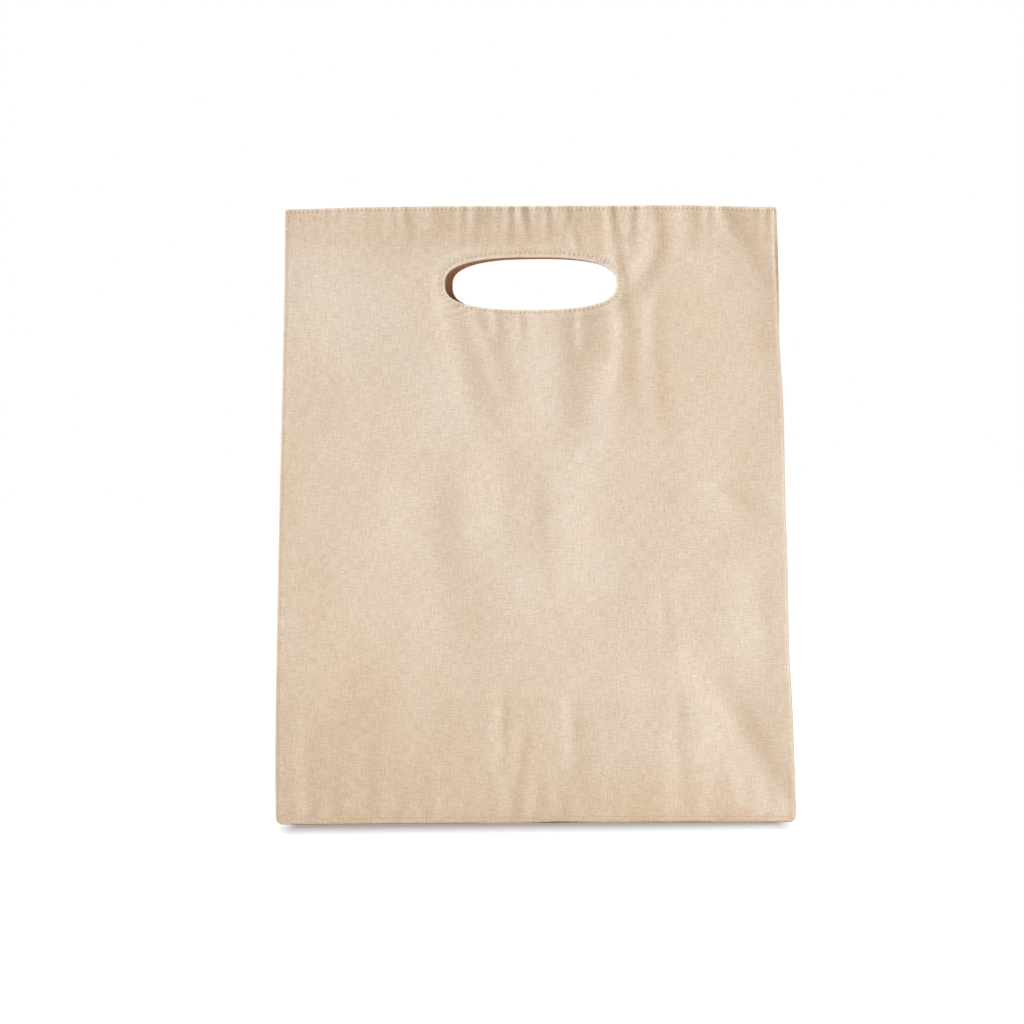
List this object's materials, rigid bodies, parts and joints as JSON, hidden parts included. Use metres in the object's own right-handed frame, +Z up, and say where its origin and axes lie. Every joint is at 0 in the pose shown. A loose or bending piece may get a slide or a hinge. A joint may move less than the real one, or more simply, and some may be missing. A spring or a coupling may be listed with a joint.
{
  "type": "cotton grocery bag",
  "caption": "Upright unlined canvas carrier bag with pleated side gussets, a flat base and a stitched hand hole through each wall.",
  "frame": {"origin": "on the floor under the middle of the base", "axes": "+Z up from the base to the hem, +X along the walls, the front wall faces -Y"},
  "size_m": [0.3, 0.1124, 0.363],
  "materials": {
    "canvas_outside": "matte weave",
    "canvas_inside": "matte weave",
    "thread": "matte cotton"
  },
  "bodies": {
    "base": {"base_panel": "canvas_outside", "left_gusset": "canvas_outside", "right_gusset": "canvas_outside", "left_base_stitching": "thread", "right_base_stitching": "thread"},
    "front_wall": {"front_panel": "canvas_outside", "front_facing": "canvas_inside", "front_hem_stitching": "thread", "front_grip_stitching": "thread", "front_left_edge_stitching": "thread", "front_right_edge_stitching": "thread", "front_base_stitching": "thread"},
    "back_wall": {"back_panel": "canvas_outside", "back_facing": "canvas_inside", "back_hem_stitching": "thread", "back_grip_stitching": "thread", "back_left_edge_stitching": "thread", "back_right_edge_stitching": "thread", "back_base_stitching": "thread"}
  },
  "joints": [
    {"name": "front_wall_hinge", "type": "hinge", "parent": "base", "child": "front_wall", "pos_m": [0, -0.055, 0], "axis": [1, 0, 0], "range_deg": [0, 7.2], "deforming": ["left_gusset", "right_gusset"]},
    {"name": "back_wall_hinge", "type": "hinge", "parent": "base", "child": "back_wall", "pos_m": [0, 0.055, 0], "axis": [-1, 0, 0], "range_deg": [0, 7.2], "deforming": ["left_gusset", "right_gusset"]}
  ]
}
